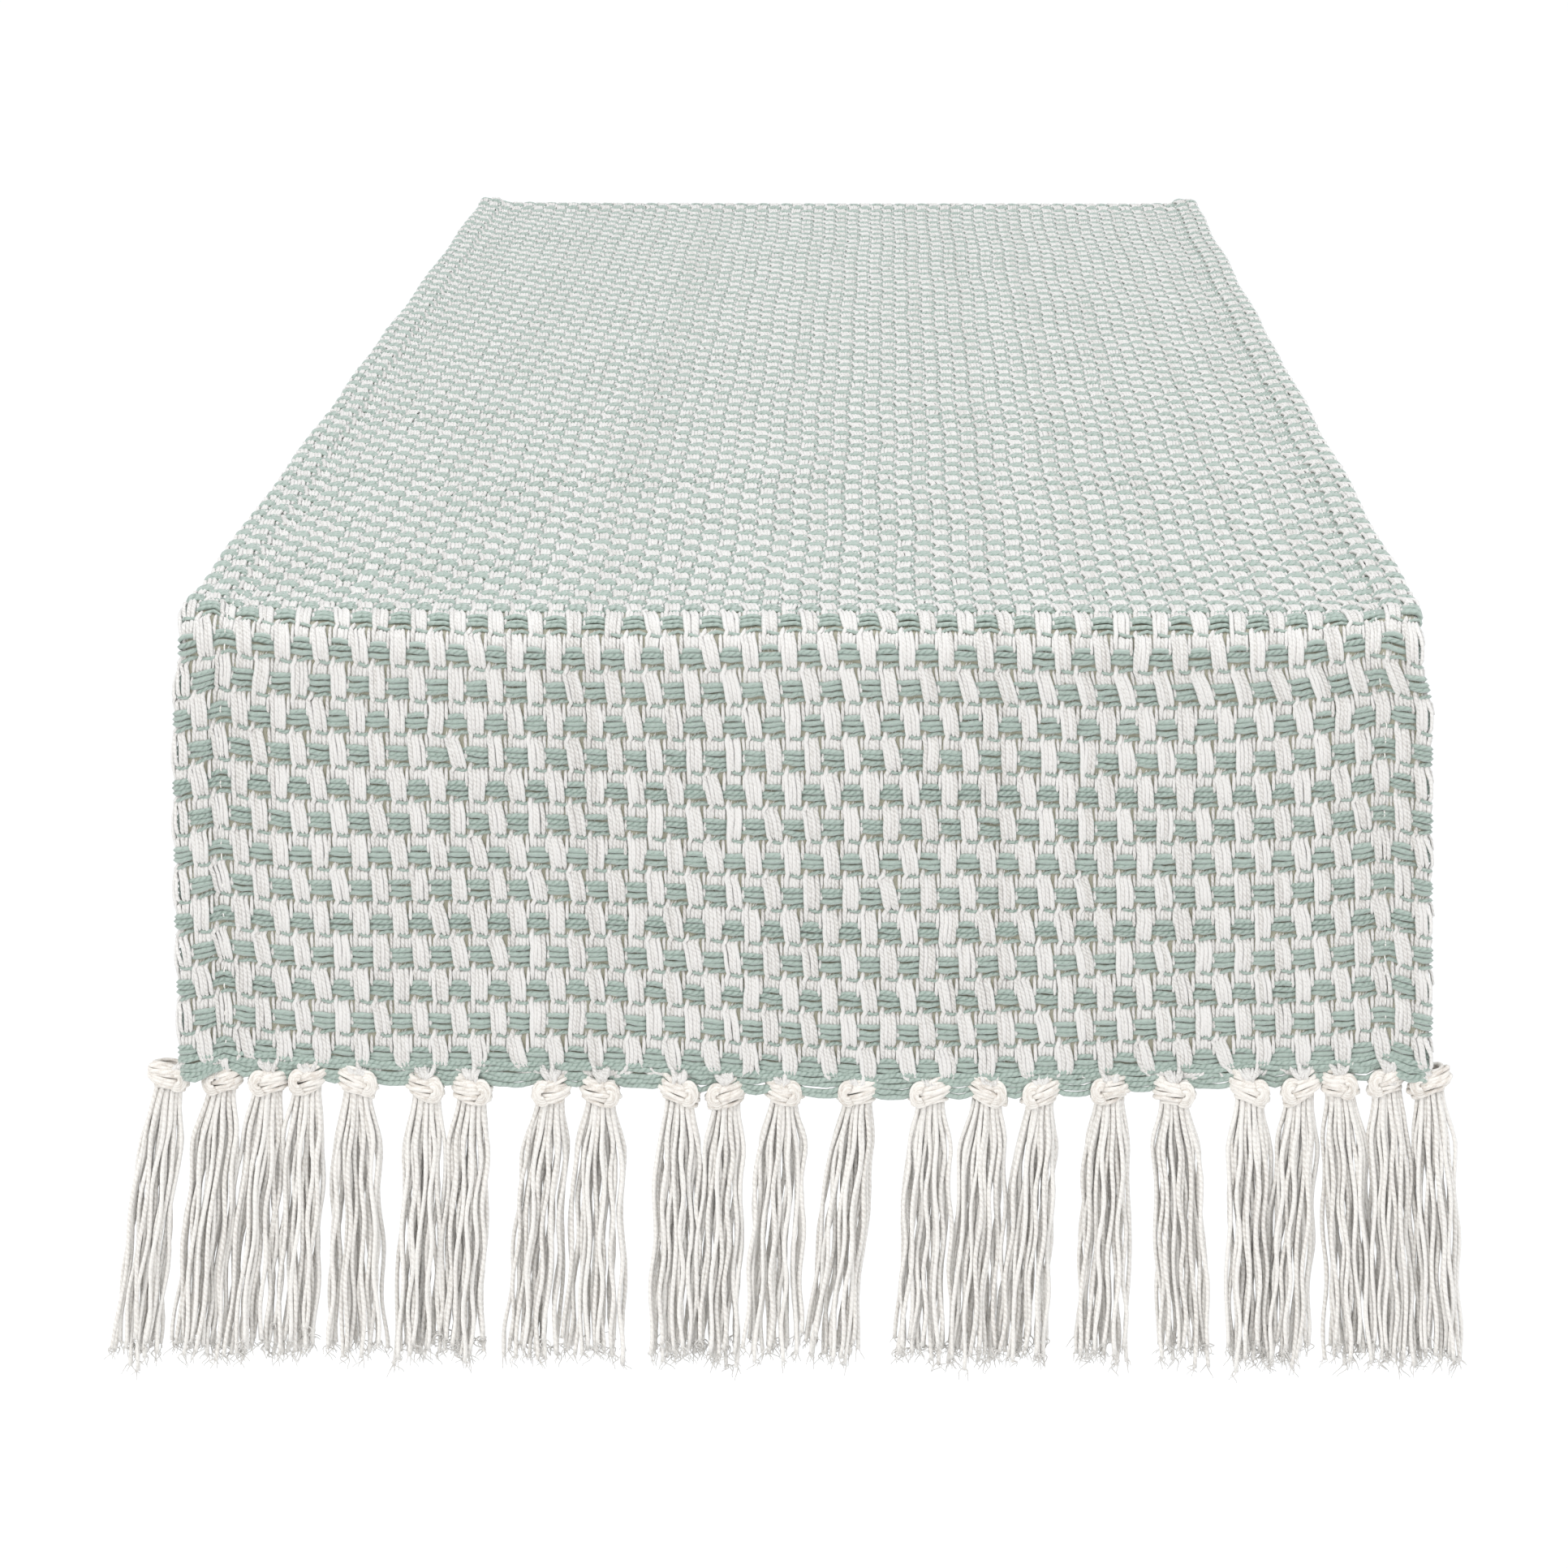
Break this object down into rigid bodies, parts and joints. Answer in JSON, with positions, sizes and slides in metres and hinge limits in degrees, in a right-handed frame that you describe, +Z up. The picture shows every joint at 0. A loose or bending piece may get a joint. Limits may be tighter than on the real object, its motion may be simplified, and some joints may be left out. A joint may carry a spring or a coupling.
{
  "type": "table runner",
  "caption": "Long woven cotton table runner draped over both ends of a table, with side hems and a knotted fringe at each end.",
  "frame": {"origin": "centre of the underside of the cloth that lies on the table top", "axes": "+X across the runner, +Y along it from the front end to the rear end, +Z up out of the table top"},
  "size_m": [0.368, 1.126, 0.2144],
  "materials": {
    "woven_cloth": "chunky cotton weave of off-white warp bundles and sage green weft, matt",
    "hem_cloth": "the same weave folded double, matt",
    "sewing_thread": "fine off-white thread, slight sheen",
    "knot_yarn": "off-white plied cotton yarn, matt",
    "fringe_yarn": "loose off-white plied cotton yarn with frayed ends, matt"
  },
  "bodies": {
    "top": {"top_cloth": "woven_cloth", "top_hem_left": "hem_cloth", "top_hem_right": "hem_cloth", "top_hem_stitching": "sewing_thread"},
    "front_drop": {"front_drop_cloth": "woven_cloth", "front_hem_left": "hem_cloth", "front_hem_right": "hem_cloth", "front_hem_stitching": "sewing_thread", "front_knots": "knot_yarn"},
    "rear_drop": {"rear_drop_cloth": "woven_cloth", "rear_hem_left": "hem_cloth", "rear_hem_right": "hem_cloth", "rear_hem_stitching": "sewing_thread", "rear_knots": "knot_yarn"},
    "front_tassel_01": {"front_tassel_01": "fringe_yarn"},
    "front_tassel_02": {"front_tassel_02": "fringe_yarn"},
    "front_tassel_03": {"front_tassel_03": "fringe_yarn"},
    "front_tassel_04": {"front_tassel_04": "fringe_yarn"},
    "front_tassel_05": {"front_tassel_05": "fringe_yarn"},
    "front_tassel_06": {"front_tassel_06": "fringe_yarn"},
    "front_tassel_07": {"front_tassel_07": "fringe_yarn"},
    "front_tassel_08": {"front_tassel_08": "fringe_yarn"},
    "front_tassel_09": {"front_tassel_09": "fringe_yarn"},
    "front_tassel_10": {"front_tassel_10": "fringe_yarn"},
    "front_tassel_11": {"front_tassel_11": "fringe_yarn"},
    "front_tassel_12": {"front_tassel_12": "fringe_yarn"},
    "front_tassel_13": {"front_tassel_13": "fringe_yarn"},
    "front_tassel_14": {"front_tassel_14": "fringe_yarn"},
    "front_tassel_15": {"front_tassel_15": "fringe_yarn"},
    "front_tassel_16": {"front_tassel_16": "fringe_yarn"},
    "front_tassel_17": {"front_tassel_17": "fringe_yarn"},
    "front_tassel_18": {"front_tassel_18": "fringe_yarn"},
    "front_tassel_19": {"front_tassel_19": "fringe_yarn"},
    "front_tassel_20": {"front_tassel_20": "fringe_yarn"},
    "front_tassel_21": {"front_tassel_21": "fringe_yarn"},
    "front_tassel_22": {"front_tassel_22": "fringe_yarn"},
    "front_tassel_23": {"front_tassel_23": "fringe_yarn"},
    "rear_tassel_01": {"rear_tassel_01": "fringe_yarn"},
    "rear_tassel_02": {"rear_tassel_02": "fringe_yarn"},
    "rear_tassel_03": {"rear_tassel_03": "fringe_yarn"},
    "rear_tassel_04": {"rear_tassel_04": "fringe_yarn"},
    "rear_tassel_05": {"rear_tassel_05": "fringe_yarn"},
    "rear_tassel_06": {"rear_tassel_06": "fringe_yarn"},
    "rear_tassel_07": {"rear_tassel_07": "fringe_yarn"},
    "rear_tassel_08": {"rear_tassel_08": "fringe_yarn"},
    "rear_tassel_09": {"rear_tassel_09": "fringe_yarn"},
    "rear_tassel_10": {"rear_tassel_10": "fringe_yarn"},
    "rear_tassel_11": {"rear_tassel_11": "fringe_yarn"},
    "rear_tassel_12": {"rear_tassel_12": "fringe_yarn"},
    "rear_tassel_13": {"rear_tassel_13": "fringe_yarn"},
    "rear_tassel_14": {"rear_tassel_14": "fringe_yarn"},
    "rear_tassel_15": {"rear_tassel_15": "fringe_yarn"},
    "rear_tassel_16": {"rear_tassel_16": "fringe_yarn"},
    "rear_tassel_17": {"rear_tassel_17": "fringe_yarn"},
    "rear_tassel_18": {"rear_tassel_18": "fringe_yarn"},
    "rear_tassel_19": {"rear_tassel_19": "fringe_yarn"},
    "rear_tassel_20": {"rear_tassel_20": "fringe_yarn"},
    "rear_tassel_21": {"rear_tassel_21": "fringe_yarn"},
    "rear_tassel_22": {"rear_tassel_22": "fringe_yarn"},
    "rear_tassel_23": {"rear_tassel_23": "fringe_yarn"}
  },
  "joints": [
    {"name": "front_fold", "type": "hinge", "parent": "top", "child": "front_drop", "pos_m": [0, -0.55655, 0.00155], "axis": [-1, 0, 0], "range_deg": [0, 90]},
    {"name": "rear_fold", "type": "hinge", "parent": "top", "child": "rear_drop", "pos_m": [0, 0.55655, 0.00155], "axis": [1, 0, 0], "range_deg": [0, 90]},
    {"name": "front_tassel_01_swing", "type": "hinge", "parent": "front_drop", "child": "front_tassel_01", "pos_m": [-0.1775, -0.5565, -0.132], "axis": [-1, 0, 0], "range_deg": [-60, 60]},
    {"name": "front_tassel_02_swing", "type": "hinge", "parent": "front_drop", "child": "front_tassel_02", "pos_m": [-0.1625, -0.5565, -0.132], "axis": [-1, 0, 0], "range_deg": [-60, 60]},
    {"name": "front_tassel_03_swing", "type": "hinge", "parent": "front_drop", "child": "front_tassel_03", "pos_m": [-0.1495, -0.5565, -0.132], "axis": [-1, 0, 0], "range_deg": [-60, 60]},
    {"name": "front_tassel_04_swing", "type": "hinge", "parent": "front_drop", "child": "front_tassel_04", "pos_m": [-0.1385, -0.5565, -0.132], "axis": [-1, 0, 0], "range_deg": [-60, 60]},
    {"name": "front_tassel_05_swing", "type": "hinge", "parent": "front_drop", "child": "front_tassel_05", "pos_m": [-0.1245, -0.5565, -0.132], "axis": [-1, 0, 0], "range_deg": [-60, 60]},
    {"name": "front_tassel_06_swing", "type": "hinge", "parent": "front_drop", "child": "front_tassel_06", "pos_m": [-0.1055, -0.5565, -0.132], "axis": [-1, 0, 0], "range_deg": [-60, 60]},
    {"name": "front_tassel_07_swing", "type": "hinge", "parent": "front_drop", "child": "front_tassel_07", "pos_m": [-0.0925, -0.5565, -0.132], "axis": [-1, 0, 0], "range_deg": [-60, 60]},
    {"name": "front_tassel_08_swing", "type": "hinge", "parent": "front_drop", "child": "front_tassel_08", "pos_m": [-0.0705, -0.5565, -0.132], "axis": [-1, 0, 0], "range_deg": [-60, 60]},
    {"name": "front_tassel_09_swing", "type": "hinge", "parent": "front_drop", "child": "front_tassel_09", "pos_m": [-0.0565, -0.5565, -0.132], "axis": [-1, 0, 0], "range_deg": [-60, 60]},
    {"name": "front_tassel_10_swing", "type": "hinge", "parent": "front_drop", "child": "front_tassel_10", "pos_m": [-0.0345, -0.5565, -0.132], "axis": [-1, 0, 0], "range_deg": [-60, 60]},
    {"name": "front_tassel_11_swing", "type": "hinge", "parent": "front_drop", "child": "front_tassel_11", "pos_m": [-0.0215, -0.5565, -0.132], "axis": [-1, 0, 0], "range_deg": [-60, 60]},
    {"name": "front_tassel_12_swing", "type": "hinge", "parent": "front_drop", "child": "front_tassel_12", "pos_m": [-0.0055, -0.5565, -0.132], "axis": [-1, 0, 0], "range_deg": [-60, 60]},
    {"name": "front_tassel_13_swing", "type": "hinge", "parent": "front_drop", "child": "front_tassel_13", "pos_m": [0.0155, -0.5565, -0.132], "axis": [-1, 0, 0], "range_deg": [-60, 60]},
    {"name": "front_tassel_14_swing", "type": "hinge", "parent": "front_drop", "child": "front_tassel_14", "pos_m": [0.0355, -0.5565, -0.132], "axis": [-1, 0, 0], "range_deg": [-60, 60]},
    {"name": "front_tassel_15_swing", "type": "hinge", "parent": "front_drop", "child": "front_tassel_15", "pos_m": [0.0515, -0.5565, -0.132], "axis": [-1, 0, 0], "range_deg": [-60, 60]},
    {"name": "front_tassel_16_swing", "type": "hinge", "parent": "front_drop", "child": "front_tassel_16", "pos_m": [0.0665, -0.5565, -0.132], "axis": [-1, 0, 0], "range_deg": [-60, 60]},
    {"name": "front_tassel_17_swing", "type": "hinge", "parent": "front_drop", "child": "front_tassel_17", "pos_m": [0.0855, -0.5565, -0.132], "axis": [-1, 0, 0], "range_deg": [-60, 60]},
    {"name": "front_tassel_18_swing", "type": "hinge", "parent": "front_drop", "child": "front_tassel_18", "pos_m": [0.1035, -0.5565, -0.132], "axis": [-1, 0, 0], "range_deg": [-60, 60]},
    {"name": "front_tassel_19_swing", "type": "hinge", "parent": "front_drop", "child": "front_tassel_19", "pos_m": [0.1245, -0.5565, -0.132], "axis": [-1, 0, 0], "range_deg": [-60, 60]},
    {"name": "front_tassel_20_swing", "type": "hinge", "parent": "front_drop", "child": "front_tassel_20", "pos_m": [0.1385, -0.5565, -0.132], "axis": [-1, 0, 0], "range_deg": [-60, 60]},
    {"name": "front_tassel_21_swing", "type": "hinge", "parent": "front_drop", "child": "front_tassel_21", "pos_m": [0.1495, -0.5565, -0.132], "axis": [-1, 0, 0], "range_deg": [-60, 60]},
    {"name": "front_tassel_22_swing", "type": "hinge", "parent": "front_drop", "child": "front_tassel_22", "pos_m": [0.1625, -0.5565, -0.132], "axis": [-1, 0, 0], "range_deg": [-60, 60]},
    {"name": "front_tassel_23_swing", "type": "hinge", "parent": "front_drop", "child": "front_tassel_23", "pos_m": [0.1745, -0.5565, -0.132], "axis": [-1, 0, 0], "range_deg": [-60, 60]},
    {"name": "rear_tassel_01_swing", "type": "hinge", "parent": "rear_drop", "child": "rear_tassel_01", "pos_m": [0.1775, 0.5565, -0.132], "axis": [1, 0, 0], "range_deg": [-60, 60]},
    {"name": "rear_tassel_02_swing", "type": "hinge", "parent": "rear_drop", "child": "rear_tassel_02", "pos_m": [0.1625, 0.5565, -0.132], "axis": [1, 0, 0], "range_deg": [-60, 60]},
    {"name": "rear_tassel_03_swing", "type": "hinge", "parent": "rear_drop", "child": "rear_tassel_03", "pos_m": [0.1495, 0.5565, -0.132], "axis": [1, 0, 0], "range_deg": [-60, 60]},
    {"name": "rear_tassel_04_swing", "type": "hinge", "parent": "rear_drop", "child": "rear_tassel_04", "pos_m": [0.1385, 0.5565, -0.132], "axis": [1, 0, 0], "range_deg": [-60, 60]},
    {"name": "rear_tassel_05_swing", "type": "hinge", "parent": "rear_drop", "child": "rear_tassel_05", "pos_m": [0.1245, 0.5565, -0.132], "axis": [1, 0, 0], "range_deg": [-60, 60]},
    {"name": "rear_tassel_06_swing", "type": "hinge", "parent": "rear_drop", "child": "rear_tassel_06", "pos_m": [0.1055, 0.5565, -0.132], "axis": [1, 0, 0], "range_deg": [-60, 60]},
    {"name": "rear_tassel_07_swing", "type": "hinge", "parent": "rear_drop", "child": "rear_tassel_07", "pos_m": [0.0925, 0.5565, -0.132], "axis": [1, 0, 0], "range_deg": [-60, 60]},
    {"name": "rear_tassel_08_swing", "type": "hinge", "parent": "rear_drop", "child": "rear_tassel_08", "pos_m": [0.0705, 0.5565, -0.132], "axis": [1, 0, 0], "range_deg": [-60, 60]},
    {"name": "rear_tassel_09_swing", "type": "hinge", "parent": "rear_drop", "child": "rear_tassel_09", "pos_m": [0.0565, 0.5565, -0.132], "axis": [1, 0, 0], "range_deg": [-60, 60]},
    {"name": "rear_tassel_10_swing", "type": "hinge", "parent": "rear_drop", "child": "rear_tassel_10", "pos_m": [0.0345, 0.5565, -0.132], "axis": [1, 0, 0], "range_deg": [-60, 60]},
    {"name": "rear_tassel_11_swing", "type": "hinge", "parent": "rear_drop", "child": "rear_tassel_11", "pos_m": [0.0215, 0.5565, -0.132], "axis": [1, 0, 0], "range_deg": [-60, 60]},
    {"name": "rear_tassel_12_swing", "type": "hinge", "parent": "rear_drop", "child": "rear_tassel_12", "pos_m": [0.0055, 0.5565, -0.132], "axis": [1, 0, 0], "range_deg": [-60, 60]},
    {"name": "rear_tassel_13_swing", "type": "hinge", "parent": "rear_drop", "child": "rear_tassel_13", "pos_m": [-0.0155, 0.5565, -0.132], "axis": [1, 0, 0], "range_deg": [-60, 60]},
    {"name": "rear_tassel_14_swing", "type": "hinge", "parent": "rear_drop", "child": "rear_tassel_14", "pos_m": [-0.0355, 0.5565, -0.132], "axis": [1, 0, 0], "range_deg": [-60, 60]},
    {"name": "rear_tassel_15_swing", "type": "hinge", "parent": "rear_drop", "child": "rear_tassel_15", "pos_m": [-0.0515, 0.5565, -0.132], "axis": [1, 0, 0], "range_deg": [-60, 60]},
    {"name": "rear_tassel_16_swing", "type": "hinge", "parent": "rear_drop", "child": "rear_tassel_16", "pos_m": [-0.0665, 0.5565, -0.132], "axis": [1, 0, 0], "range_deg": [-60, 60]},
    {"name": "rear_tassel_17_swing", "type": "hinge", "parent": "rear_drop", "child": "rear_tassel_17", "pos_m": [-0.0855, 0.5565, -0.132], "axis": [1, 0, 0], "range_deg": [-60, 60]},
    {"name": "rear_tassel_18_swing", "type": "hinge", "parent": "rear_drop", "child": "rear_tassel_18", "pos_m": [-0.1035, 0.5565, -0.132], "axis": [1, 0, 0], "range_deg": [-60, 60]},
    {"name": "rear_tassel_19_swing", "type": "hinge", "parent": "rear_drop", "child": "rear_tassel_19", "pos_m": [-0.1245, 0.5565, -0.132], "axis": [1, 0, 0], "range_deg": [-60, 60]},
    {"name": "rear_tassel_20_swing", "type": "hinge", "parent": "rear_drop", "child": "rear_tassel_20", "pos_m": [-0.1385, 0.5565, -0.132], "axis": [1, 0, 0], "range_deg": [-60, 60]},
    {"name": "rear_tassel_21_swing", "type": "hinge", "parent": "rear_drop", "child": "rear_tassel_21", "pos_m": [-0.1495, 0.5565, -0.132], "axis": [1, 0, 0], "range_deg": [-60, 60]},
    {"name": "rear_tassel_22_swing", "type": "hinge", "parent": "rear_drop", "child": "rear_tassel_22", "pos_m": [-0.1625, 0.5565, -0.132], "axis": [1, 0, 0], "range_deg": [-60, 60]},
    {"name": "rear_tassel_23_swing", "type": "hinge", "parent": "rear_drop", "child": "rear_tassel_23", "pos_m": [-0.1745, 0.5565, -0.132], "axis": [1, 0, 0], "range_deg": [-60, 60]}
  ]
}
